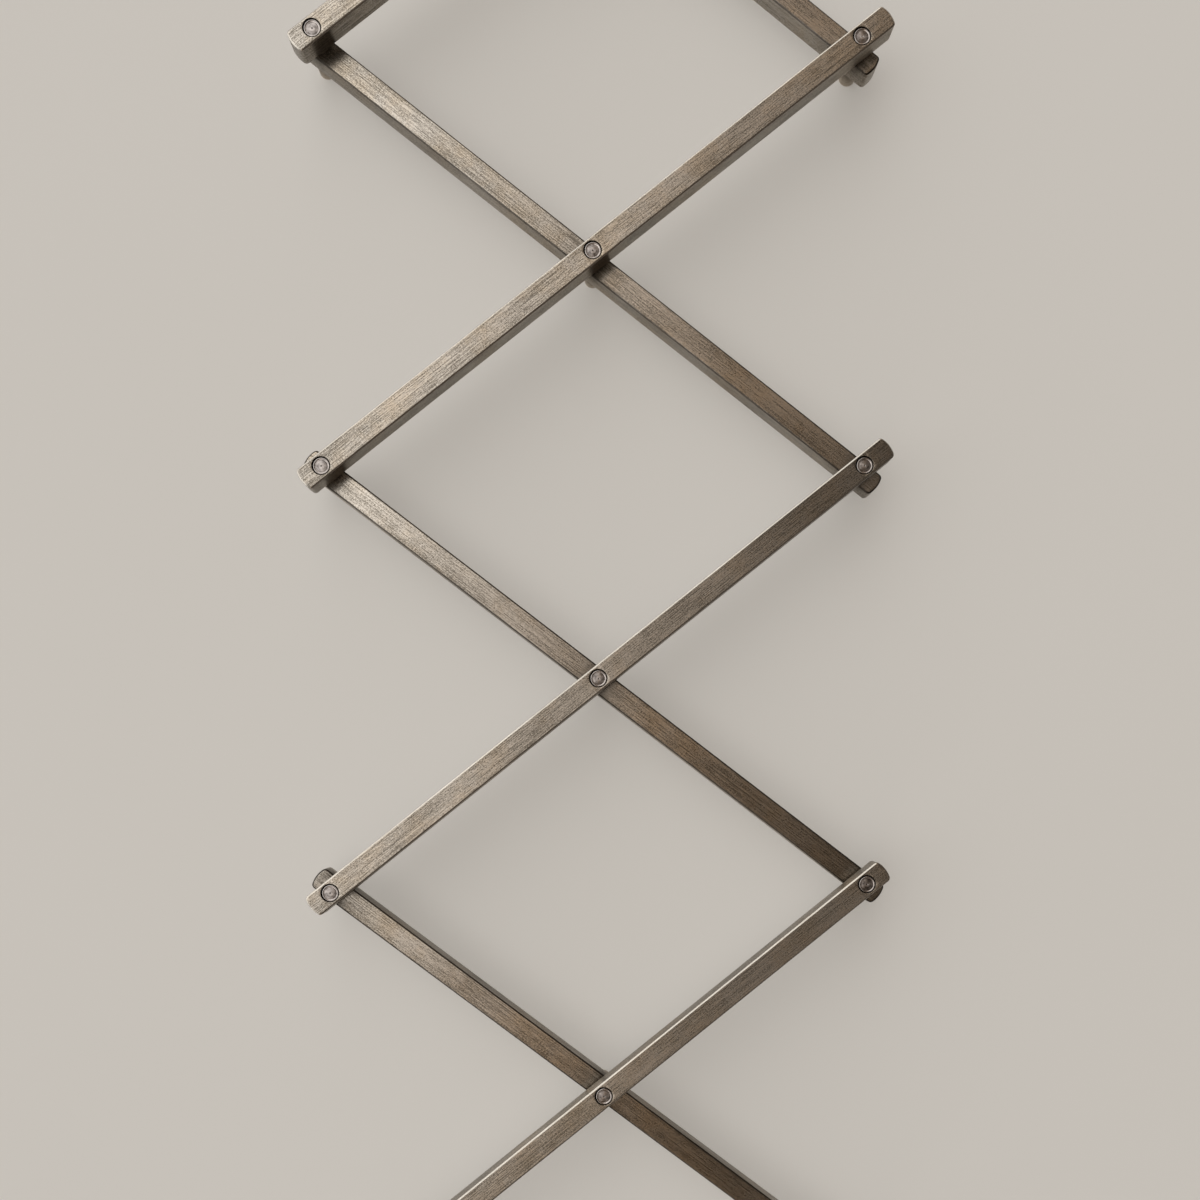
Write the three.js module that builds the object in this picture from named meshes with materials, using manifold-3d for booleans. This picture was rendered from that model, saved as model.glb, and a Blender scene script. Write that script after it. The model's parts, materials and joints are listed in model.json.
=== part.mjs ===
// Expanding trivet: a lazy-tongs lattice of flat metal bars that fold about thirteen pins.
// The upper bars all lean one way and the lower bars the other, each joint has one pin with
// a dished head sunk in the upper bar, a thin washer between the bars, and a round foot.
// Millimetres, +Z up. The origin is on the table under the middle pin, and Y runs lengthwise.

import * as THREE from 'three';
import { mergeVertices } from 'three/addons/utils/BufferGeometryUtils.js';
import Module from 'manifold-3d';

const wasm = await Module();
wasm.setup();

// Driving dimensions of the lattice
const pivotSpan = 176;
const restAngle = THREE.MathUtils.degToRad(38);

// Driving dimensions of the bars
const barWidth = 6;
const barHeight = 6;
const endReach = 6.3;
const endBulge = 0.25;
const endCornerRadius = 1.1;
const edgeChamfer = 0.5;

// Upper bars that were cut long past their last pin
const longEndExtra = 3;
const shortEndExtra = 2;

// Driving dimensions of the pins
const shankDiameter = 3;
const headDiameter = 4.1;
const headHeight = 1.2;
const headDrop = 0.1;
const headRimWidth = 0.35;
const headDishDepth = 0.35;
const shankChamfer = 0.3;
const tenonLength = 3.5;

// Driving dimensions of the washers and feet
const washerDiameter = 5.4;
const washerThickness = 0.5;
const footDiameter = 4.4;
const footHeight = 5.7;
const footEdgeRadius = 0.5;
const socketSpare = 0.5;

// Clearances between pieces, and how far a cutter runs past the face it opens
const pinClearance = 0.3;
const faceGap = 0.3;
const cutOverrun = 1;

// Facets round a turned piece or bore, and along one curve of a bar's outline
const roundSides = 16;
const outlineSteps = 2;

// Heights of the stack, from the table up
const lowerBarBase = footHeight + faceGap;
const washerBase = lowerBarBase + barHeight + faceGap;
const upperBarBase = washerBase + washerThickness + faceGap;
const upperBarTop = upperBarBase + barHeight;
const headTop = upperBarTop - headDrop;
const headBase = headTop - headHeight;

// The lattice at rest: half a bar's span, and the steps from pin to pin along X and Y
const halfSpan = pivotSpan / 2;
const stepX = halfSpan * Math.cos(restAngle);
const stepY = halfSpan * Math.sin(restAngle);

const finishes = {
  bar: { color: 0xa39a88, roughness: 0.34, metalness: 1 },
  pin: { color: 0xaaa4a4, roughness: 0.28, metalness: 1 },
  washer: { color: 0x9a958c, roughness: 0.4, metalness: 1 },
  foot: { color: 0x8d7f6c, roughness: 0.38, metalness: 1 },
};

// One indexed skin with shared corners and no triangle that has shrunk to a line
function sharedSkin(geometry) {
  const bare = new THREE.BufferGeometry();
  bare.setAttribute('position', geometry.getAttribute('position'));
  bare.setIndex(geometry.getIndex());
  const merged = mergeVertices(bare);
  const corners = merged.getIndex().array;
  const kept = [];
  for (let i = 0; i < corners.length; i += 3) {
    const [a, b, c] = corners.slice(i, i + 3);
    if (a !== b && b !== c && c !== a) kept.push(a, b, c);
  }
  merged.setIndex(kept);
  return merged;
}

function toSolid(geometry) {
  const skin = sharedSkin(geometry);
  const vertProperties = new Float32Array(skin.getAttribute('position').array);
  const triVerts = new Uint32Array(skin.getIndex().array);
  return new wasm.Manifold(new wasm.Mesh({ numProp: 3, vertProperties, triVerts }));
}

function toGeometry(solid) {
  const mesh = solid.getMesh();
  const geometry = new THREE.BufferGeometry();
  geometry.setAttribute('position', new THREE.BufferAttribute(mesh.vertProperties, 3));
  geometry.setIndex(new THREE.BufferAttribute(mesh.triVerts, 1));
  return geometry;
}

// A piece turned about Z, from [radius, height] points that run up its outside
function turned(profile) {
  const points = profile.map(([radius, height]) => new THREE.Vector2(radius, height));
  const lathe = new THREE.LatheGeometry(points, roundSides);
  return sharedSkin(lathe.rotateX(Math.PI / 2));
}

function borer(radius, x, bottom, top) {
  const cylinder = new THREE.CylinderGeometry(radius, radius, top - bottom, roundSides);
  cylinder.rotateX(Math.PI / 2);
  cylinder.translate(x, 0, (bottom + top) / 2);
  return toSolid(cylinder);
}

// Plan of a bar, from its left end to its right one, with rounded corners and bowed ends
function barPlan(left, right) {
  const side = barWidth / 2;
  const cornerY = side - endCornerRadius;
  const leftFace = left + endBulge;
  const rightFace = right - endBulge;
  const plan = new THREE.Shape();
  plan.moveTo(leftFace + endCornerRadius, -side);
  plan.absarc(rightFace - endCornerRadius, -cornerY, endCornerRadius, -Math.PI / 2, 0);
  plan.quadraticCurveTo(right + endBulge, 0, rightFace, cornerY);
  plan.absarc(rightFace - endCornerRadius, cornerY, endCornerRadius, 0, Math.PI / 2);
  plan.absarc(leftFace + endCornerRadius, cornerY, endCornerRadius, Math.PI / 2, Math.PI);
  plan.quadraticCurveTo(left - endBulge, 0, leftFace, -cornerY);
  plan.absarc(leftFace + endCornerRadius, -cornerY, endCornerRadius, Math.PI, 1.5 * Math.PI);
  return plan;
}

// A chamfered bar with its underside at z = 0 and its pins' places along X
function barBlank(pinPlaces, leftReach, rightReach) {
  const plan = barPlan(Math.min(...pinPlaces) - leftReach, Math.max(...pinPlaces) + rightReach);
  const blank = new THREE.ExtrudeGeometry(plan, {
    depth: barHeight - 2 * edgeChamfer,
    curveSegments: outlineSteps,
    bevelSegments: 1,
    bevelThickness: edgeChamfer,
    bevelSize: edgeChamfer,
    bevelOffset: -edgeChamfer,
  });
  return toSolid(blank.translate(0, 0, edgeChamfer));
}

function lowerBarGeometry(pinPlaces) {
  let bar = barBlank(pinPlaces, endReach, endReach);
  const boreRadius = shankDiameter / 2 + pinClearance;
  for (const x of pinPlaces) {
    bar = bar.subtract(borer(boreRadius, x, -cutOverrun, barHeight + cutOverrun));
  }
  return toGeometry(bar);
}

function upperBarGeometry(pinPlaces, leftExtra, rightExtra) {
  let bar = barBlank(pinPlaces, endReach + leftExtra, endReach + rightExtra);
  const boreRadius = shankDiameter / 2 + pinClearance;
  const sinkRadius = headDiameter / 2 + pinClearance;
  const sinkFloor = headBase - faceGap - upperBarBase;
  for (const x of pinPlaces) {
    bar = bar.subtract(borer(boreRadius, x, -cutOverrun, barHeight + cutOverrun));
    bar = bar.subtract(borer(sinkRadius, x, sinkFloor, barHeight + cutOverrun));
  }
  return toGeometry(bar);
}

function pinGeometry() {
  const shank = shankDiameter / 2;
  const head = headDiameter / 2;
  const dish = head - headRimWidth;
  const tenonEnd = footHeight - tenonLength;
  return turned([
    [0, tenonEnd],
    [shank - shankChamfer, tenonEnd],
    [shank, tenonEnd + shankChamfer],
    [shank, headBase],
    [head, headBase],
    [head, headTop],
    [dish, headTop],
    [dish / 2, headTop - headDishDepth * 0.75],
    [0, headTop - headDishDepth],
  ]);
}

function washerGeometry() {
  const inner = shankDiameter / 2 + pinClearance;
  const outer = washerDiameter / 2;
  return turned([
    [inner, washerBase],
    [outer, washerBase],
    [outer, washerBase + washerThickness],
    [inner, washerBase + washerThickness],
    [inner, washerBase],
  ]);
}

function footGeometry() {
  const outer = footDiameter / 2;
  const socket = shankDiameter / 2 + pinClearance;
  const socketFloor = footHeight - tenonLength - socketSpare;
  return turned([
    [0, 0],
    [outer - footEdgeRadius, 0],
    [outer - footEdgeRadius * (1 - Math.SQRT1_2), footEdgeRadius * (1 - Math.SQRT1_2)],
    [outer, footEdgeRadius],
    [outer, footHeight],
    [socket, footHeight],
    [socket, socketFloor],
    [0, socketFloor],
  ]);
}

function piece(name, geometry, finish) {
  const material = new THREE.MeshStandardMaterial({ ...finishes[finish], flatShading: true });
  const mesh = new THREE.Mesh(geometry, material);
  mesh.name = name;
  return mesh;
}

// Each bar's centre, its pins' places along it, and the joints' names from left to right.
// Rows count from the far end: +Y is far, and the middle row is at y = 0.
const fullPlaces = [-halfSpan, 0, halfSpan];
const endPlaces = [-halfSpan / 2, halfSpan / 2];

const upperBars = [
  { name: 'upper_end_bar_far', x: -stepX / 2, y: 3.5 * stepY, places: endPlaces, extra: [0, 0] },
  { name: 'upper_bar_1', x: 0, y: 2 * stepY, places: fullPlaces, extra: [0, longEndExtra] },
  { name: 'upper_bar_2', x: 0, y: 0, places: fullPlaces, extra: [0, shortEndExtra] },
  { name: 'upper_bar_3', x: 0, y: -2 * stepY, places: fullPlaces, extra: [longEndExtra, 0] },
  { name: 'upper_end_bar_near', x: stepX / 2, y: -3.5 * stepY, places: endPlaces, extra: [0, 0] },
];

const lowerBars = [
  { name: 'lower_end_bar_far', x: stepX / 2, y: 3.5 * stepY, places: endPlaces,
    joints: ['tip_far', 'right_1'] },
  { name: 'lower_bar_1', x: 0, y: 2 * stepY, places: fullPlaces,
    joints: ['left_1', 'centre_1', 'right_2'] },
  { name: 'lower_bar_2', x: 0, y: 0, places: fullPlaces,
    joints: ['left_2', 'centre_2', 'right_3'] },
  { name: 'lower_bar_3', x: 0, y: -2 * stepY, places: fullPlaces,
    joints: ['left_3', 'centre_3', 'right_4'] },
  { name: 'lower_end_bar_near', x: -stepX / 2, y: -3.5 * stepY, places: endPlaces,
    joints: ['left_4', 'tip_near'] },
];

const trivet = new THREE.Group();
trivet.name = 'expanding_trivet';

for (const { name, x, y, places, extra } of upperBars) {
  const bar = piece(name, upperBarGeometry(places, extra[0], extra[1]), 'bar');
  bar.position.set(x, y, upperBarBase);
  bar.rotation.z = restAngle;
  trivet.add(bar);
}

// A lower bar carries the pins, washers and feet of its own joints
for (const { name, x, y, places, joints } of lowerBars) {
  const carrier = new THREE.Group();
  carrier.position.set(x, y, 0);
  carrier.rotation.z = -restAngle;
  const bar = piece(name, lowerBarGeometry(places), 'bar');
  bar.position.z = lowerBarBase;
  carrier.add(bar);
  joints.forEach((joint, index) => {
    const stack = [
      piece(`pivot_pin_${joint}`, pinGeometry(), 'pin'),
      piece(`washer_${joint}`, washerGeometry(), 'washer'),
      piece(`foot_${joint}`, footGeometry(), 'foot'),
    ];
    for (const item of stack) {
      item.position.x = places[index];
      carrier.add(item);
    }
  });
  trivet.add(carrier);
}

export default trivet;
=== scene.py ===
import math

import bmesh
import bpy
import numpy as np
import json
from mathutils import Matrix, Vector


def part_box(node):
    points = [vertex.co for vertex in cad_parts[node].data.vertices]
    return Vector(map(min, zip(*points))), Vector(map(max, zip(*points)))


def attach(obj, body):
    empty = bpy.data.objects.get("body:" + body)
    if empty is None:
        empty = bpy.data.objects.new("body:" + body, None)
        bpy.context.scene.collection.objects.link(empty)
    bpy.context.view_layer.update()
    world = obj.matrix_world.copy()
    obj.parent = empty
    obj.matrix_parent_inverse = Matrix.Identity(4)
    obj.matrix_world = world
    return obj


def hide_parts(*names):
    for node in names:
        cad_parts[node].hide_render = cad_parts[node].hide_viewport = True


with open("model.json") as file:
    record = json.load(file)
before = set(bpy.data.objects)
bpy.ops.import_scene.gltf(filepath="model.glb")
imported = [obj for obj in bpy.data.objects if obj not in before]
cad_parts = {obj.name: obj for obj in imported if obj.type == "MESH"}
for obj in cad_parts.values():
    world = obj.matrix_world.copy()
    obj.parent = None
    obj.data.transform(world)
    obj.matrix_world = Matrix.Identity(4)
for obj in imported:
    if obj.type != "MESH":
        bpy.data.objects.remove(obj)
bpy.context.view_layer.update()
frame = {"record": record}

# Feet
# Short studs turned from bar and pressed onto the lower end of each joint's pin. They are all that
# touches the table. Satin turned metal, a little browner than the bars.

FOOT_RADIUS = 0.0022
FOOT_SOLE_RADIUS = 0.0016
FOOT_EDGE_ROUND = 0.0005
FOOT_NECK_ROUND = 0.00015
FOOT_CENTRE_MARK = 0.0003
FOOT_ROUND_STEPS = 6
TURNING_STEPS = 48
WELD_DISTANCE = 1e-7
SMOOTH_BELOW = math.radians(38)

FOOT_LIGHT = (0.55, 0.485, 0.405)
FOOT_DARK = (0.36, 0.305, 0.245)
FOOT_POLISH = (0.74, 0.66, 0.55)
FOOT_ROUGHNESS = 0.36

WEAR, SOIL_AND_SHADE, END_FACE, BRIGHTNESS = range(4)
CLEAN_METAL = (0.0, 0.0, 0.0, 1.0)

TURNED_SOIL = (0.035, 0.028, 0.022)
FINE_RINGS = (20.0, 9000.0, 1.0)
COARSE_RINGS = (20.0, 2600.0, 1.0)
TURNED_BLOTCHES = (1100.0, 1100.0, 1100.0)
TURNED_TONE_SHARES = (0.5, 0.5)
TURNED_CONTRAST = (0.36, 0.62)
TURNED_WEAR_SHARE = 0.5
TURNED_SOIL_SHARE = 0.85
BLOTCH_DULLING = 0.16
TURNED_SOIL_DULLING = 0.2
RING_HEIGHT_SHARES = (0.5, 1.0)
RING_RELIEF = 6e-6
TURNED_ANISOTROPY = 0.55
ACROSS_GROOVES = 0.25

body_of = {}
for body, nodes in frame["record"]["behaviour"]["bodies"].items():
    for node in nodes:
        body_of[node] = body
joints = sorted(node[len("foot_"):] for node in body_of if node.startswith("foot_"))
lower_bar_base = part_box("lower_bar_2")[0].z


def joint_place(joint):
    """Where a joint's vertical axis stands: the middle of its pin's box, seen from above."""
    low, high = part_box(f"pivot_pin_{joint}")
    return np.array([(low.x + high.x) / 2, (low.y + high.y) / 2])


def quarter_round(radius, steps):
    """A quarter circle as (setback, rise) rows: setback = r (1 - sin a) and rise = r (1 - cos a),
    with the angle a running from 0 to a right angle."""
    angle = np.linspace(0, math.pi / 2, steps + 1)
    return np.stack([radius * (1 - np.sin(angle)), radius * (1 - np.cos(angle))], axis=1)


def run_length(line):
    """How far along a line each of its points lies: the sum of the straight steps up to it."""
    return np.concatenate([[0], np.cumsum(np.hypot(*np.diff(line, axis=0).T))])


def grid_faces(rows, columns, closed=False):
    """Index quads of a rows by columns grid, each (i, j), (i, j+1), (i+1, j+1), (i+1, j). A closed
    grid also joins its last column to its first."""
    i, j = np.meshgrid(np.arange(rows - 1), np.arange(columns - (not closed)), indexing="ij")
    after = (j + 1) % columns
    corners = [i * columns + j, i * columns + after, (i + 1) * columns + after, (i + 1) * columns + j]
    return np.stack(corners, axis=-1).reshape(-1, 4)


def skin_object(name, sheets, material):
    """One closed mesh from sheets of (points, corner UVs, marks, quads). Sheets meet edge to edge,
    so equal points are welded, and quads with two welded corners turn into triangles. A point's
    marks say how worn it is, how dark it is painted for dirt and for shade, how much it lies on an
    end face, and which share of the metal's brightness is left there."""
    starts = np.cumsum([0] + [len(points) for points, _, _, _ in sheets])
    points = np.concatenate([sheet[0] for sheet in sheets])
    corner_uvs = np.concatenate([sheet[1] for sheet in sheets])
    marks = np.concatenate([sheet[2] for sheet in sheets])
    quads = np.concatenate([sheet[3] + start for sheet, start in zip(sheets, starts)])
    mesh = bpy.data.meshes.new(name)
    mesh.from_pydata(points.tolist(), [], quads.tolist())
    mesh.uv_layers.new(name="brush").uv.foreach_set("vector", corner_uvs.ravel())
    mesh.attributes.new("marks", "FLOAT_COLOR", "POINT").data.foreach_set("color", marks.ravel())
    weld = bmesh.new()
    weld.from_mesh(mesh)
    bmesh.ops.remove_doubles(weld, verts=weld.verts, dist=WELD_DISTANCE)
    weld.to_mesh(mesh)
    weld.free()
    mesh.shade_smooth()
    mesh.set_sharp_from_angle(angle=SMOOTH_BELOW)
    mesh.materials.append(material)
    piece = bpy.data.objects.new(name, mesh)
    bpy.context.scene.collection.objects.link(piece)
    shading = piece.modifiers.new("even shading", "WEIGHTED_NORMAL")
    shading.keep_sharp = True
    return piece


def turned_sheet(profile, centre, marks):
    """Carries (radius, height) rows once round the vertical line through centre:
    x = cx + r cos a, y = cy + r sin a. The UV map holds the way round at the widest radius and the
    distance along the profile, both in metres."""
    profile = np.asarray(profile)
    angle = np.arange(TURNING_STEPS) * 2 * math.pi / TURNING_STEPS
    radius, height = profile[:, :1], profile[:, 1:]
    points = np.stack([
        centre[0] + radius * np.cos(angle),
        centre[1] + radius * np.sin(angle),
        np.broadcast_to(height, (len(profile), TURNING_STEPS)),
    ], axis=-1)
    quads = grid_faces(len(profile), TURNING_STEPS, closed=True)
    column = quads % TURNING_STEPS
    column[:, 1:3] = column[:, :1] + 1
    round_way = column / TURNING_STEPS * (2 * math.pi * profile[:, 0].max())
    along = run_length(profile)[quads // TURNING_STEPS]
    corner_uvs = np.stack([round_way, along], axis=-1)
    point_marks = np.repeat(marks, TURNING_STEPS, axis=0)
    return points.reshape(-1, 3), corner_uvs.reshape(-1, 2), point_marks, quads


def add_node(tree, kind, inputs=None, **settings):
    """A shader node with its settings, and its inputs either linked or set to a value."""
    node = tree.nodes.new(kind)
    for key, value in settings.items():
        setattr(node, key, value)
    for key, value in (inputs or {}).items():
        if isinstance(value, bpy.types.NodeSocket):
            tree.links.new(value, node.inputs[key])
        else:
            node.inputs[key].default_value = value
    return node


def stretched_noise(tree, vector, per_metre, detail=2.0, roughness=0.5):
    """Noise with so many grains to a metre along each axis of the vector."""
    stretched = add_node(tree, "ShaderNodeMapping", {"Vector": vector, "Scale": per_metre})
    noise = add_node(tree, "ShaderNodeTexNoise", {
        "Vector": stretched.outputs["Vector"], "Scale": 1.0, "Detail": detail, "Roughness": roughness,
    }, noise_dimensions="3D")
    return noise.outputs["Fac"]


def math_node(tree, operation, first, second=0.0, third=0.0):
    """The result of one sum, such as first + second, or first times second plus third."""
    node = add_node(tree, "ShaderNodeMath", {0: first, 1: second, 2: third}, operation=operation)
    return node.outputs[0]


def weighted_sum(tree, values, shares):
    """The sum of each value times its share."""
    total = 0.0
    for value, share in zip(values, shares):
        total = math_node(tree, "MULTIPLY_ADD", value, share, total)
    return total


def remap(tree, value, low, high, to_low=0.0, to_high=1.0, smooth=False):
    """Carries low..high to to_low..to_high and stops at both ends, in a straight line or eased."""
    node = add_node(tree, "ShaderNodeMapRange", {
        "Value": value, "From Min": low, "From Max": high, "To Min": to_low, "To Max": to_high,
    }, interpolation_type="SMOOTHSTEP" if smooth else "LINEAR")
    return node.outputs["Result"]


def mix_colours(tree, factor, first, second, blend="MIX"):
    """The first colour mixed with the second by this factor. The node's sockets 0, 6 and 7 take the
    factor and the two colours, and its output 2 gives the mixed colour."""
    node = add_node(tree, "ShaderNodeMix", data_type="RGBA", blend_type=blend)
    for socket, value in ((0, factor), (6, first), (7, second)):
        if isinstance(value, bpy.types.NodeSocket):
            tree.links.new(value, node.inputs[socket])
        elif socket == 0:
            node.inputs[0].default_value = value
        else:
            node.inputs[socket].default_value = (*value, 1.0)
    return node.outputs[2]


def metal_shader(tree, colour, roughness, height, relief, anisotropy):
    """A bare metal whose grooves run along the UV map's first axis, so that its highlights spread
    across them. relief is the depth of the height map in metres."""
    grooves = add_node(tree, "ShaderNodeTangent", direction_type="UV_MAP", uv_map="brush")
    bump = add_node(tree, "ShaderNodeBump", {
        "Strength": 1.0, "Distance": relief, "Height": height,
    })
    shader = add_node(tree, "ShaderNodeBsdfPrincipled", {
        "Base Color": colour, "Metallic": 1.0, "Roughness": roughness,
        "Anisotropic": anisotropy, "Anisotropic Rotation": ACROSS_GROOVES,
        "Normal": bump.outputs["Normal"], "Tangent": grooves.outputs["Tangent"],
    })
    output = add_node(tree, "ShaderNodeOutputMaterial")
    tree.links.new(shader.outputs["BSDF"], output.inputs["Surface"])


def new_material(name):
    """A material with an empty node tree, and its UV map, Object coordinates and four marks."""
    material = bpy.data.materials.new(name)
    material.use_nodes = True
    tree = material.node_tree
    tree.nodes.clear()
    brush = add_node(tree, "ShaderNodeUVMap", uv_map="brush").outputs["UV"]
    place = add_node(tree, "ShaderNodeTexCoord").outputs["Object"]
    marks = add_node(tree, "ShaderNodeAttribute", attribute_name="marks")
    split = add_node(tree, "ShaderNodeSeparateColor", {"Color": marks.outputs["Color"]})
    return material, tree, brush, place, [*split.outputs, marks.outputs["Alpha"]]


def turned_metal(name, light, dark, roughness, polish):
    """Metal from the lathe: fine and coarse rings along the profile, broken up a little by blotches.
    It is dark and dull where dirt collects and brighter on worn edges."""
    material, tree, brush, place, marks = new_material(name)
    rings = stretched_noise(tree, brush, FINE_RINGS)
    coarse_rings = stretched_noise(tree, brush, COARSE_RINGS, detail=1.0)
    blotches = stretched_noise(tree, place, TURNED_BLOTCHES, detail=3.0)
    tone = weighted_sum(tree, (coarse_rings, blotches), TURNED_TONE_SHARES)
    colour = mix_colours(tree, remap(tree, tone, *TURNED_CONTRAST), dark, light)
    worn = math_node(tree, "MULTIPLY", marks[WEAR], TURNED_WEAR_SHARE)
    colour = mix_colours(tree, worn, colour, polish)
    darkened = math_node(tree, "MULTIPLY", marks[SOIL_AND_SHADE], TURNED_SOIL_SHARE)
    colour = mix_colours(tree, darkened, colour, TURNED_SOIL)
    dull = math_node(tree, "MULTIPLY_ADD", blotches, BLOTCH_DULLING, roughness - BLOTCH_DULLING / 2)
    dull = math_node(tree, "MULTIPLY_ADD", marks[SOIL_AND_SHADE], TURNED_SOIL_DULLING, dull)
    height = weighted_sum(tree, (rings, coarse_rings), RING_HEIGHT_SHARES)
    metal_shader(tree, colour, dull, height, RING_RELIEF, TURNED_ANISOTROPY)
    return material


foot_metal = turned_metal("turned_foot_metal", FOOT_LIGHT, FOOT_DARK, FOOT_ROUGHNESS, FOOT_POLISH)

sole_round = quarter_round(FOOT_EDGE_ROUND, FOOT_ROUND_STEPS)
neck_round = quarter_round(FOOT_NECK_ROUND, FOOT_ROUND_STEPS)
foot_rows = [(0, FOOT_CENTRE_MARK), (FOOT_CENTRE_MARK, 0)]
sole_edge = len(foot_rows)
foot_rows += [(FOOT_SOLE_RADIUS, 0)]
foot_rows += [(FOOT_RADIUS - setback, rise) for setback, rise in sole_round]
foot_rows += [(FOOT_RADIUS - setback, lower_bar_base - rise) for setback, rise in neck_round[::-1]]
foot_rows += [(0, lower_bar_base)]
foot_marks = np.tile(CLEAN_METAL, (len(foot_rows), 1))
foot_marks[sole_edge:sole_edge + len(sole_round), WEAR] = 1
foot_marks[-len(neck_round) - 1:, SOIL_AND_SHADE] = 1

for joint in joints:
    node = f"foot_{joint}"
    sheet = turned_sheet(foot_rows, joint_place(joint), foot_marks)
    foot = skin_object(f"turned_{node}", [sheet], foot_metal)
    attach(foot, body_of[node])
    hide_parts(node)

# Lower bars
# Square drawn bar, sawn to length, with every long edge eased and the ends bowed by a file. Bored
# for the pins, then brushed lengthwise. The plating has toned to a warm old-silver grey. The colour
# is painted darker as shade on the sides and beside each crossing, and as dark reflections along
# the edges.

BAR_WIDTH = 0.006
EDGE_LAND = 0.00034
EDGE_TILT = math.radians(32)
EDGE_EASE = 0.00012
EDGE_EASE_STEPS = 3
END_REACH = 0.0063
END_BOW_RADIUS = 0.007
END_BOW_STEPS = 4
END_CORNER = 0.0011
END_CORNER_STEPS = 7
BORE_RADIUS = 0.0018
BORE_EDGE = 0.00015
BORE_EDGE_STEPS = 3
HOLE_FIELD = 0.0026
BETWEEN_HOLES = 15
BRUSH_STEP = 0.217

# Painted shade: the sides of all bars are darkened, as by the shaded floor they reflect.
SIDE_PAINTED_SHADE = 0.3
# How far the painted shade beside each crossing reaches past the hole's field.
CORNER_SHADE_REACH = 0.004
END_FACE_POWER = 6
# The lower bars' edges are painted dark as a dark reflection, and their tops get painted shade beside
# each crossing.
LOWER_FINISH = {"edge_wear": 0.2, "edge_painted_dark": 0.75, "corner_painted_shade": 0.6, "tarnish_and_dim_reflection": 0.0}

BAR_LIGHT = (0.59, 0.54, 0.475)
BAR_DARK = (0.175, 0.155, 0.128)
BAR_TINT = (0.97, 0.84, 0.66)
BAR_BRIGHT_EDGE = (0.74, 0.69, 0.62)
BAR_SOIL_AND_SHADE = (0.03, 0.025, 0.02)

BRUSH_LINES = (30.0, 3900.0, 1.0)
BRUSH_SCRATCHES = (260.0, 5600.0, 1.0)
BRUSH_SPECKLE = (2300.0, 4200.0, 1.0)
CROSS_GRAIN = (3600.0, 700.0, 1.0)
FILE_GRAIN = (2500.0, 2500.0, 6000.0)
BAR_BLOTCHES = (45.0, 160.0, 1.0)
BROWN_PATCHES = (60.0, 60.0, 60.0)
LONG_TONING = (16.0, 16.0, 1.0)
STREAK_SHARES = (0.5, 0.5)
GRAIN_SHARES = (0.58, 0.34, 0.08)
BAR_TONE_SHARES = (0.86, 0.14)
BAR_CONTRAST = (0.44, 0.56)
BROWN_CONTRAST = (0.46, 0.64)
BROWN_RANGE = (0.0, 0.45)
LONG_CONTRAST = (0.35, 0.65)
LONG_RANGE = (0.93, 1.12)
BAR_WEAR_SHARE = 0.6
BAR_SOIL_AND_SHADE_SHARE = 0.9
DULL_CONTRAST = (0.43, 0.57)
DULL_RANGE = (0.29, 0.22)
WEAR_POLISHING = 0.08
BAR_SOIL_AND_SHADE_DULLING = 0.25
FILE_HEIGHT_SHARE = 0.4
BRUSH_RELIEF = 1.8e-5
BRUSH_ANISOTROPY = 0.88

lower_bar_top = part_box("lower_bar_2")[1].z


def filed_edge(land, tilt, ease, steps):
    """An edge taken off flat by a file, as (setback, rise) rows from the flat face to the side. The
    land lies at this tilt to the face, and an arc of radius ease leads into it and out of it:
    outward = ease sin a and rise = ease (1 - cos a), plus the land's own reach once a passes tilt."""
    angle = np.concatenate([np.linspace(0, tilt, steps + 1), np.linspace(tilt, math.pi / 2, steps + 1)])
    past_land = np.repeat([0, 1], steps + 1)
    outward = ease * np.sin(angle) + past_land * land * math.cos(tilt)
    rise = ease * (1 - np.cos(angle)) + past_land * land * math.sin(tilt)
    return np.stack([outward[-1] - outward, rise], axis=1)


def half_outline(left, right, holes):
    """The upper half of a bar's plan from its left tip to its right one, with outward normals. Each
    end is a wide bow, a circle about (bow, 0) from the tip, then a corner circle that touches it:
    both turn through the same angle a, with the normal (-cos a, sin a). The side is straight, with
    stations on a fan round each hole and even ones in between."""
    side = BAR_WIDTH / 2
    corner_y = side - END_CORNER
    to_corner = math.sqrt((END_BOW_RADIUS - END_CORNER) ** 2 - corner_y ** 2)
    meeting = math.atan2(corner_y, to_corner)
    bow_angle = np.linspace(0, meeting, END_BOW_STEPS + 1)
    corner_angle = np.linspace(meeting, math.pi / 2, END_CORNER_STEPS + 1)[1:]
    turn = np.concatenate([bow_angle, corner_angle])
    end_normal = np.stack([-np.cos(turn), np.sin(turn)], axis=1)
    on_bow = turn[:, None] <= meeting
    end = end_normal * np.where(on_bow, END_BOW_RADIUS, END_CORNER)
    end += np.where(on_bow, [END_BOW_RADIUS, 0], [END_BOW_RADIUS - to_corner, corner_y])
    fan = np.linspace(0, math.pi, TURNING_STEPS // 2 + 1)
    between = [np.linspace(a, b, BETWEEN_HOLES + 2)[1:-1] for a, b in zip(holes[:-1], holes[1:])]
    stations = [hole - HOLE_FIELD * np.cos(fan) for hole in holes]
    in_turn = [part for pair in zip(stations, between) for part in pair]
    straight = np.concatenate([*in_turn, stations[-1]])
    straight = np.stack([straight, np.full_like(straight, side)], axis=1)
    straight_normal = np.tile([0.0, 1.0], (len(straight), 1))
    outline = np.concatenate([end + [left, 0], straight, end[::-1] * [-1, 1] + [right, 0]])
    normals = np.concatenate([end_normal, straight_normal, end_normal[::-1] * [-1, 1]])
    return outline, normals, len(end), fan


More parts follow.
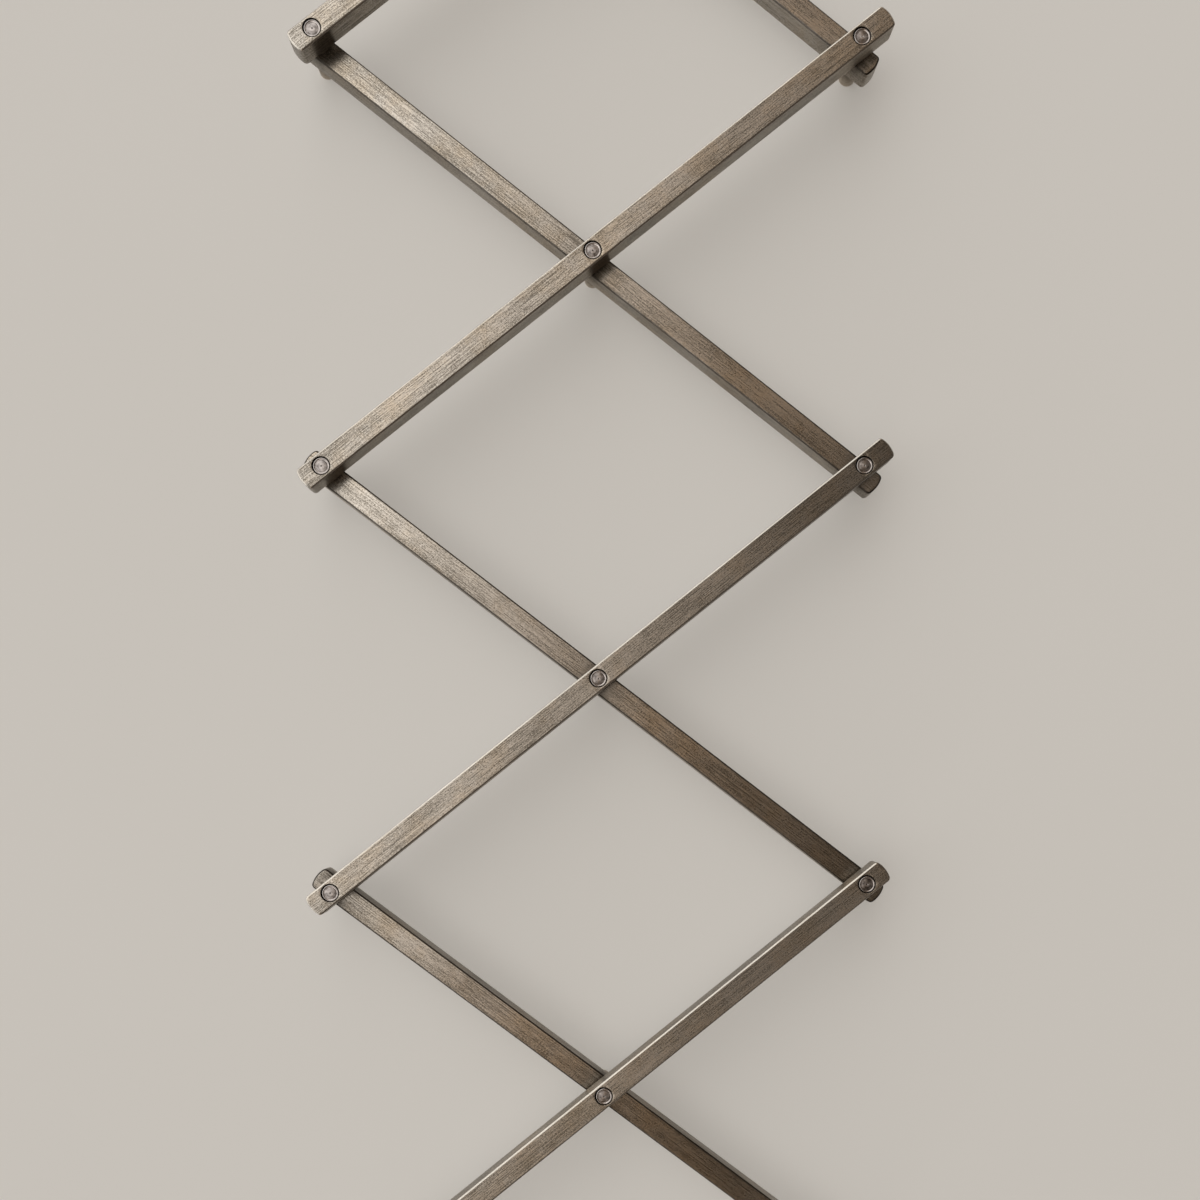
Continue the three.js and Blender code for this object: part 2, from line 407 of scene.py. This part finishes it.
def cap_line(outline, holes, radius, end_count, fan):
    """The inner edge of a flat cap: the line y = 0, but (hole - r cos a, r sin a) round each hole,
    with the angle a running from 0 to pi."""
    inner = outline * [1, 0]
    round_hole = np.stack([-radius * np.cos(fan), radius * np.sin(fan)], axis=1)
    for index, hole in enumerate(holes):
        first = end_count + index * (len(fan) + BETWEEN_HOLES)
        inner[first:first + len(fan)] = round_hole + [hole, 0]
    return inner


def grid_marks(rows, heights, normals, holes, finish):
    """The marks of half a bar. Across an eased edge an angle a runs from 0 to pi: the edge is worn
    by sin a and painted dark by sin a as a dark reflection, and painted shade on the side grows as
    (1 - cos a) / 2. In the upper half, painted shade beside each hole fades out evenly with
    distance. A point lies on an end face as far as its normal points along the bar, away from the
    end's own edges. Brightness is taken away more and more from the bar's middle to its last hole,
    and then stays the same: partly tarnishing, partly a painted darker reflection."""
    across_edge = np.linspace(0, math.pi, len(rows) // 2 - 1)
    edge = np.sin(across_edge)
    # Painted shade on the side, plus a painted dark reflection along each eased edge.
    side = SIDE_PAINTED_SHADE * (1 - np.cos(across_edge)) / 2 + finish["edge_painted_dark"] * edge
    wear = np.concatenate([[0], edge, edge, [0]])[:, None] * finish["edge_wear"]
    painted_shade = np.concatenate([[0], side, side[::-1], [0]])[:, None]
    level = 2 * heights[:, None] / heights[-1] - 1
    to_hole = np.abs(rows[:, :, :1] - holes).min(axis=2)
    # Painted shade on the upper half beside each crossing, where the crossing bar shades it.
    corner = np.clip(1 - (to_hole - HOLE_FIELD) / CORNER_SHADE_REACH, 0, 1) * (level > 0)
    painted_shade = np.minimum(painted_shade + finish["corner_painted_shade"] * corner, 1)
    end_face = np.abs(normals[:, 0]) * (1 - np.abs(level) ** END_FACE_POWER)
    # Partly tarnishing, partly a painted darker reflection towards the last hole.
    brightness = 1 - finish["tarnish_and_dim_reflection"] * np.clip(rows[:, :, 0] / holes[-1], 0, 1)
    return np.stack(np.broadcast_arrays(wear, painted_shade, end_face, brightness), axis=-1)


def bar_sheets(holes, left, right, height, hole_rows, finish, brush_start):
    """A bar along X with its underside at z = 0. Each half is one grid: the underside's inner edge,
    the section carried round the outline at its setback, and the top's inner edge. hole_rows are
    the (radius, height) rows of a hole's wall from the underside up. The UV map holds the distance
    along the bar and that round its section from the middle of the top, from brush_start on, so
    that each bar has a grain of its own."""
    outline, normals, end_count, fan = half_outline(left, right, holes)
    eased = filed_edge(EDGE_LAND, EDGE_TILT, EDGE_EASE, EDGE_EASE_STEPS)
    upper = np.stack([eased[::-1, 0], height - eased[::-1, 1]], axis=1)
    section = np.concatenate([eased, upper])
    down = run_length(section[::-1])[::-1]
    rims = [outline - normals * setback for setback, _ in section]
    inner_low = cap_line(rims[0], holes, hole_rows[0][0], end_count, fan)
    inner_high = cap_line(rims[-1], holes, hole_rows[-1][0], end_count, fan)
    rows = np.stack([inner_low, *rims, inner_high])
    heights = np.concatenate([[0], section[:, 1], [height]])
    from_middle = np.stack([
        rims[-1][:, 1] + down[0] + rims[0][:, 1] - inner_low[:, 1],
        *(rims[-1][:, 1] + distance for distance in down),
        inner_high[:, 1],
    ])
    marks = grid_marks(rows, heights, normals, holes, finish)
    level = np.broadcast_to(heights[:, None, None], (*rows.shape[:2], 1))
    quads = grid_faces(*rows.shape[:2])
    sheets = []
    for side, winding in ((1, quads[:, ::-1]), (-1, quads)):
        points = np.concatenate([rows * [1, side], level], axis=2)
        uv = np.stack([rows[:, :, 0] + brush_start, side * from_middle + brush_start], axis=2)
        corner_uvs = uv.reshape(-1, 2)[winding].reshape(-1, 2)
        sheets.append((points.reshape(-1, 3), corner_uvs, marks.reshape(-1, 4), winding))
    hole_marks = np.tile(CLEAN_METAL, (len(hole_rows), 1))
    hole_marks[1:-1, SOIL_AND_SHADE] = 1
    for hole in holes:
        points, uv, wall_marks, wall = turned_sheet(hole_rows, (hole, 0), hole_marks)
        inward_uv = uv.reshape(-1, 4, 2)[:, ::-1].reshape(-1, 2)
        sheets.append((points, inward_uv, wall_marks, wall[:, ::-1]))
    return sheets


def placed(sheets, start, end, base):
    """Turns sheets made along X so that X runs from start to end, seen from above, with their
    origin midway and their underside at the height base."""
    along = (end - start) / np.linalg.norm(end - start)
    middle = (start + end) / 2
    turn = np.array([[along[0], along[1], 0], [-along[1], along[0], 0], [0, 0, 1]])
    shift = [middle[0], middle[1], base]
    return [(points @ turn + shift, uv, marks, quads) for points, uv, marks, quads in sheets]


def mix_values(tree, factor, first, second):
    """The first value mixed with the second: first + factor (second - first)."""
    step = math_node(tree, "SUBTRACT", second, first)
    return math_node(tree, "MULTIPLY_ADD", step, factor, first)


def brushed_metal(name):
    """Long brush lines and short broken scratches, with speckle and a little grain across them from
    drawing the bar. Its tone wanders in blotches and in long stretches, with browner patches. End
    faces have file grain in place of the lines, worn edges are brighter and holes are dirty. The
    same dark colour paints shade on the sides and beside the crossings, and dark reflections along
    the lower bars' edges."""
    material, tree, brush, place, marks = new_material(name)
    lines = stretched_noise(tree, brush, BRUSH_LINES)
    scratches = stretched_noise(tree, brush, BRUSH_SCRATCHES)
    speckle = stretched_noise(tree, brush, BRUSH_SPECKLE, detail=1.0)
    cross_grain = stretched_noise(tree, brush, CROSS_GRAIN, detail=1.0)
    file_grain = stretched_noise(tree, place, FILE_GRAIN)
    blotches = stretched_noise(tree, brush, BAR_BLOTCHES, detail=4.0, roughness=0.6)
    patches = stretched_noise(tree, place, BROWN_PATCHES, detail=5.0, roughness=0.7)
    stretches = stretched_noise(tree, brush, LONG_TONING, detail=1.0)
    streaks = weighted_sum(tree, (lines, scratches), STREAK_SHARES)
    grain = weighted_sum(tree, (streaks, speckle, cross_grain), GRAIN_SHARES)
    grain = mix_values(tree, marks[END_FACE], grain, file_grain)
    tone = weighted_sum(tree, (grain, blotches), BAR_TONE_SHARES)
    colour = mix_colours(tree, remap(tree, tone, *BAR_CONTRAST), BAR_DARK, BAR_LIGHT)
    browned = remap(tree, patches, *BROWN_CONTRAST, *BROWN_RANGE)
    colour = mix_colours(tree, browned, colour, BAR_TINT, "MULTIPLY")
    long_tone = remap(tree, stretches, *LONG_CONTRAST, *LONG_RANGE)
    left_bright = math_node(tree, "MULTIPLY", marks[BRIGHTNESS], long_tone)
    toned = add_node(tree, "ShaderNodeVectorMath", {0: colour, "Scale": left_bright}, operation="SCALE")
    worn = math_node(tree, "MULTIPLY", marks[WEAR], BAR_WEAR_SHARE)
    colour = mix_colours(tree, worn, toned.outputs["Vector"], BAR_BRIGHT_EDGE)
    # Darker where bores hold dirt, and where shade and dark reflections are painted on the bars.
    darkened = math_node(tree, "MULTIPLY", marks[SOIL_AND_SHADE], BAR_SOIL_AND_SHADE_SHARE)
    colour = mix_colours(tree, darkened, colour, BAR_SOIL_AND_SHADE)
    dull = remap(tree, tone, *DULL_CONTRAST, *DULL_RANGE)
    dull = math_node(tree, "MULTIPLY_ADD", marks[WEAR], -WEAR_POLISHING, dull)
    dull = math_node(tree, "MULTIPLY_ADD", marks[SOIL_AND_SHADE], BAR_SOIL_AND_SHADE_DULLING, dull)
    file_height = math_node(tree, "MULTIPLY", file_grain, FILE_HEIGHT_SHARE)
    height = mix_values(tree, marks[END_FACE], streaks, file_height)
    metal_shader(tree, colour, dull, height, BRUSH_RELIEF, BRUSH_ANISOTROPY)
    return material


bar_metal = brushed_metal("brushed_bar_metal")

lower_bars = {
    "lower_end_bar_far": ("tip_far", "right_1"),
    "lower_bar_1": ("left_1", "centre_1", "right_2"),
    "lower_bar_2": ("left_2", "centre_2", "right_3"),
    "lower_bar_3": ("left_3", "centre_3", "right_4"),
    "lower_end_bar_near": ("left_4", "tip_near"),
}


def add_bar(node, bar_joints, base, top, hole_rows, extra, finish, brush_start):
    """Makes the bar that goes from its first joint to its last one, with its ends past them. extra
    is what each end has beyond the usual reach."""
    places = [joint_place(joint) for joint in bar_joints]
    middle = (places[0] + places[-1]) / 2
    span = np.linalg.norm(places[-1] - places[0])
    holes = [np.dot(place - middle, places[-1] - places[0]) / span for place in places]
    left = -span / 2 - END_REACH - extra[0]
    right = span / 2 + END_REACH + extra[1]
    sheets = bar_sheets(holes, left, right, top - base, hole_rows, finish, brush_start)
    bar = skin_object(f"brushed_{node}", placed(sheets, places[0], places[-1], base), bar_metal)
    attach(bar, body_of[node])
    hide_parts(node)


bore_edge = quarter_round(BORE_EDGE, BORE_EDGE_STEPS)
lower_bar_height = lower_bar_top - lower_bar_base
bore_foot = [(BORE_RADIUS + setback, rise) for setback, rise in bore_edge]
bore_mouth = [(BORE_RADIUS + setback, lower_bar_height - rise) for setback, rise in bore_edge[::-1]]
bore_rows = bore_foot + bore_mouth
for index, (node, bar_joints) in enumerate(lower_bars.items()):
    brush_start = index * BRUSH_STEP
    add_bar(node, bar_joints, lower_bar_base, lower_bar_top, bore_rows, (0, 0), LOWER_FINISH, brush_start)

# Washers
# Thin stamped rings on the pins, between the lower and the upper bars. They keep the bars
# about a millimetre apart, so that the brushed faces don't rub as the lattice folds.

WASHER_RADIUS = 0.0027
WASHER_BORE = 0.0016
WASHER_EDGE = 0.00018
WASHER_EDGE_STEPS = 4
WASHER_SLACK = 0.00004

WASHER_LIGHT = (0.52, 0.48, 0.42)
WASHER_DARK = (0.26, 0.23, 0.19)
WASHER_POLISH = (0.66, 0.62, 0.56)
WASHER_ROUGHNESS = 0.42
WASHER_SOIL = 0.35

washer_metal = turned_metal(
    "stamped_washer_metal", WASHER_LIGHT, WASHER_DARK, WASHER_ROUGHNESS, WASHER_POLISH,
)
upper_bar_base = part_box("upper_bar_2")[0].z
washer_low = lower_bar_top + WASHER_SLACK
washer_high = upper_bar_base - WASHER_SLACK
washer_edge = quarter_round(WASHER_EDGE, WASHER_EDGE_STEPS)
washer_rows = [(WASHER_BORE, washer_high), (WASHER_BORE, washer_low)]
washer_rows += [(WASHER_RADIUS - setback, washer_low + rise) for setback, rise in washer_edge]
washer_rows += [(WASHER_RADIUS - setback, washer_high - rise) for setback, rise in washer_edge[::-1]]
washer_rows += [(WASHER_BORE, washer_high)]
washer_marks = np.tile(CLEAN_METAL, (len(washer_rows), 1))
washer_marks[:, SOIL_AND_SHADE] = WASHER_SOIL

for joint in joints:
    node = f"washer_{joint}"
    sheet = turned_sheet(washer_rows, joint_place(joint), washer_marks)
    washer = skin_object(f"stamped_{node}", [sheet], washer_metal)
    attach(washer, body_of[node])
    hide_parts(node)

# Upper bars
# The same bar stock as below, leaning the other way, with its edges rubbed bright. Each hole is
# counterbored from above to take the pin's head. A few ends were cut longer than the rest. One bar
# grows darker towards its last hole: partly tarnishing, partly a painted darker reflection.

SINK_RADIUS = 0.00233
SINK_EDGE = 0.00008
SINK_EDGE_STEPS = 3
SINK_SLACK = 0.0003
PIN_HEAD_HEIGHT = 0.0012
LONG_END_EXTRA = 0.003
SHORT_END_EXTRA = 0.002

UPPER_FINISH = {"edge_wear": 1.0, "edge_painted_dark": 0.0, "corner_painted_shade": 0.0, "tarnish_and_dim_reflection": 0.0}
# This bar darkens towards its last hole: partly tarnishing, partly a painted darker reflection.
TARNISH_AND_DIM_REFLECTION_FINISH = {**UPPER_FINISH, "tarnish_and_dim_reflection": 0.45}

upper_bars = {
    "upper_end_bar_far": (("left_1", "tip_far"), (0, 0), UPPER_FINISH),
    "upper_bar_1": (("left_2", "centre_1", "right_1"), (0, LONG_END_EXTRA), UPPER_FINISH),
    "upper_bar_2": (("left_3", "centre_2", "right_2"), (0, SHORT_END_EXTRA), TARNISH_AND_DIM_REFLECTION_FINISH),
    "upper_bar_3": (("left_4", "centre_3", "right_3"), (LONG_END_EXTRA, 0), UPPER_FINISH),
    "upper_end_bar_near": (("tip_near", "right_4"), (0, 0), UPPER_FINISH),
}

upper_bar_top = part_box("upper_bar_2")[1].z
upper_bar_height = upper_bar_top - upper_bar_base
pin_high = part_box("pivot_pin_centre_2")[1].z
sink_floor = pin_high - PIN_HEAD_HEIGHT - SINK_SLACK - upper_bar_base
sink_edge = quarter_round(SINK_EDGE, SINK_EDGE_STEPS)
sink_rows = bore_foot + [(BORE_RADIUS, sink_floor), (SINK_RADIUS, sink_floor)]
sink_rows += [(SINK_RADIUS + setback, upper_bar_height - rise) for setback, rise in sink_edge[::-1]]
for index, (node, (bar_joints, extra, finish)) in enumerate(upper_bars.items(), len(lower_bars)):
    brush_start = index * BRUSH_STEP
    add_bar(node, bar_joints, upper_bar_base, upper_bar_top, sink_rows, extra, finish, brush_start)

# Pivot pins
# Turned pins that go through both bars into the foot and stand a little to one side in their bores.
# The head has a thin bright rim, a cove and a low dome with a small centre mark from the lathe. The
# metal is cooler than that of the bars.

SHANK_RADIUS = 0.0015
TENON_CHAMFER = 0.0003
HEAD_RADIUS = 0.00207
HEAD_RIM_ROUND = 0.00012
HEAD_RIM_STEPS = 4
HEAD_RIM_WIDTH = 0.00006
HEAD_COVE_WIDTH = 0.0003
HEAD_COVE_DEPTH = 0.0002
HEAD_COVE_STEPS = 7
HEAD_DOME_RISE = 0.00012
HEAD_DOME_STEPS = 6
CENTRE_MARK_RADIUS = 0.00026
CENTRE_MARK_DEPTH = 0.0002
PIN_OFFSET = (0.00009, -0.00006)

PIN_LIGHT = (0.58, 0.53, 0.50)
PIN_DARK = (0.13, 0.115, 0.108)
PIN_POLISH = (0.62, 0.58, 0.55)
PIN_ROUGHNESS = 0.33
CENTRE_MARK_SOIL = 0.9

pin_metal = turned_metal("turned_pin_metal", PIN_LIGHT, PIN_DARK, PIN_ROUGHNESS, PIN_POLISH)

pin_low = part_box("pivot_pin_centre_2")[0].z
head_base = pin_high - PIN_HEAD_HEIGHT
pin_rows = [(0, pin_low), (SHANK_RADIUS - TENON_CHAMFER, pin_low)]
pin_rows += [(SHANK_RADIUS, pin_low + TENON_CHAMFER), (SHANK_RADIUS, head_base)]
pin_rows += [(HEAD_RADIUS, head_base)]
rim_start = len(pin_rows)
rim_round = quarter_round(HEAD_RIM_ROUND, HEAD_RIM_STEPS)
pin_rows += [(HEAD_RADIUS - setback, pin_high - rise) for setback, rise in rim_round[::-1]]
rim_end = len(pin_rows) + 1
# The cove is a quarter of an ellipse, and the dome rises as 1 - (r / its radius) squared.
cove_edge = HEAD_RADIUS - HEAD_RIM_ROUND - HEAD_RIM_WIDTH
cove_setback, cove_rise = quarter_round(1.0, HEAD_COVE_STEPS).T
cove_radius = cove_edge - cove_rise * HEAD_COVE_WIDTH
pin_rows += list(zip(cove_radius, pin_high - (1 - cove_setback) * HEAD_COVE_DEPTH))
dome_radius = cove_edge - HEAD_COVE_WIDTH
dome = np.linspace(dome_radius, CENTRE_MARK_RADIUS, HEAD_DOME_STEPS + 1)[1:]
dome_rise = HEAD_DOME_RISE * (1 - (dome / dome_radius) ** 2)
pin_rows += list(zip(dome, pin_high - HEAD_COVE_DEPTH + dome_rise))
pin_rows += [(0, pin_high - HEAD_COVE_DEPTH + HEAD_DOME_RISE - CENTRE_MARK_DEPTH)]
pin_marks = np.tile(CLEAN_METAL, (len(pin_rows), 1))
pin_marks[:rim_start, SOIL_AND_SHADE] = 1
pin_marks[rim_start:rim_end, WEAR] = 1
pin_marks[-1, SOIL_AND_SHADE] = CENTRE_MARK_SOIL

for joint in joints:
    node = f"pivot_pin_{joint}"
    sheet = turned_sheet(pin_rows, joint_place(joint) + PIN_OFFSET, pin_marks)
    pin = skin_object(f"turned_{node}", [sheet], pin_metal)
    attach(pin, body_of[node])
    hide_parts(node)

# Table
# A plain pale table top under the feet, matt and a little warm, with barely visible clouding, that
# reaches far past the frame. For the camera and in reflections a share of it is an even glow, which
# keeps it pale although the light comes in level.

TABLE_HALF_WIDTH = 4.0
TABLE_COLOUR = (0.80, 0.775, 0.735)
TABLE_CLOUD = (0.77, 0.745, 0.70)
TABLE_CLOUDING = (9.0, 9.0, 9.0)
TABLE_ROUGHNESS = 0.7
TABLE_SHEEN = 0.3
TABLE_GLOW = (0.60, 0.57, 0.525)
TABLE_GLOW_SHARE = 0.4

table_mesh = bpy.data.meshes.new("table_top")
corners = np.array([[-1, -1, 0], [1, -1, 0], [1, 1, 0], [-1, 1, 0]]) * TABLE_HALF_WIDTH
table_mesh.from_pydata(corners.tolist(), [], [[0, 1, 2, 3]])
table = bpy.data.objects.new("table_top", table_mesh)
bpy.context.scene.collection.objects.link(table)
table_matter = bpy.data.materials.new("pale_table")
table_matter.use_nodes = True
table_tree = table_matter.node_tree
table_tree.nodes.clear()
table_place = add_node(table_tree, "ShaderNodeTexCoord").outputs["Object"]
clouding = stretched_noise(table_tree, table_place, TABLE_CLOUDING, detail=3.0)
table_shader = add_node(table_tree, "ShaderNodeBsdfPrincipled", {
    "Base Color": mix_colours(table_tree, clouding, TABLE_COLOUR, TABLE_CLOUD),
    "Roughness": TABLE_ROUGHNESS, "Specular IOR Level": TABLE_SHEEN,
})
table_rays = add_node(table_tree, "ShaderNodeLightPath").outputs
seen = math_node(table_tree, "MAXIMUM", table_rays["Is Camera Ray"], table_rays["Is Glossy Ray"])
table_glow = add_node(table_tree, "ShaderNodeEmission", {"Color": (*TABLE_GLOW, 1.0), "Strength": 1.0})
table_mix = add_node(table_tree, "ShaderNodeMixShader", {
    "Fac": math_node(table_tree, "MULTIPLY", seen, TABLE_GLOW_SHARE),
    1: table_shader.outputs["BSDF"], 2: table_glow.outputs["Emission"],
})
table_output = add_node(table_tree, "ShaderNodeOutputMaterial")
table_tree.links.new(table_mix.outputs["Shader"], table_output.inputs["Surface"])
table_mesh.materials.append(table_matter)

# Light
# Plain soft light that comes in level from the left, as from a window wall, into a room that is dim
# on the right. A warm stretch lies between the two, and a corner on the near left stays dark.

WINDOW_SIDE = (-0.970, 0.242, 0.0)
WARM_START = -0.16
WINDOW_START = -0.06
WINDOW_FULL = 0.30
DARK_CORNER = (-0.567, -0.630, 0.530)
DARK_CORNER_START = 0.92
DARK_CORNER_FULL = 0.98
ROOM_BRIGHT = (1.58, 1.56, 1.53)
ROOM_WARM = (0.35, 0.235, 0.14)
ROOM_DIM = (0.103, 0.085, 0.070)

world = bpy.data.worlds.new("room")
bpy.context.scene.world = world
world.use_nodes = True
sky = world.node_tree
sky.nodes.clear()
direction = add_node(sky, "ShaderNodeTexCoord").outputs["Generated"]
to_window = add_node(sky, "ShaderNodeVectorMath", {0: direction, 1: WINDOW_SIDE}, operation="DOT_PRODUCT")
to_corner = add_node(sky, "ShaderNodeVectorMath", {0: direction, 1: DARK_CORNER}, operation="DOT_PRODUCT")
warmth = remap(sky, to_window.outputs["Value"], WARM_START, WINDOW_START, smooth=True)
window = remap(sky, to_window.outputs["Value"], WINDOW_START, WINDOW_FULL, smooth=True)
shade = remap(sky, to_corner.outputs["Value"], DARK_CORNER_START, DARK_CORNER_FULL, smooth=True)
room = mix_colours(sky, warmth, ROOM_DIM, ROOM_WARM)
room = mix_colours(sky, window, room, ROOM_BRIGHT)
room = mix_colours(sky, shade, room, ROOM_DIM)
background = add_node(sky, "ShaderNodeBackground", {"Color": room, "Strength": 1.0})
sky_output = add_node(sky, "ShaderNodeOutputWorld")
sky.links.new(background.outputs["Background"], sky_output.inputs["Surface"])

# Camera
# It looks almost straight down from a third of a metre, as in the photograph. The point straight
# below it lies low in the frame, which is what the lens shift is for.

CAMERA_PLACE = (-0.00223, -0.02288, 0.32628)
CAMERA_TURN = (math.radians(-1.928), math.radians(-2.557), math.radians(-0.685))
CAMERA_LENS = 35.75
CAMERA_SENSOR = 36.0
CAMERA_SHIFT = (-0.0367, 0.173)
CAMERA_NEAREST = 0.01

camera_data = bpy.data.cameras.new("camera")
camera_data.sensor_width = CAMERA_SENSOR
camera_data.sensor_fit = "HORIZONTAL"
camera_data.lens = CAMERA_LENS
camera_data.shift_x, camera_data.shift_y = CAMERA_SHIFT
camera_data.clip_start = CAMERA_NEAREST
camera = bpy.data.objects.new("camera", camera_data)
camera.location = CAMERA_PLACE
camera.rotation_euler = CAMERA_TURN
bpy.context.scene.collection.objects.link(camera)
bpy.context.scene.camera = camera
bpy.context.scene.view_settings.view_transform = "Standard"
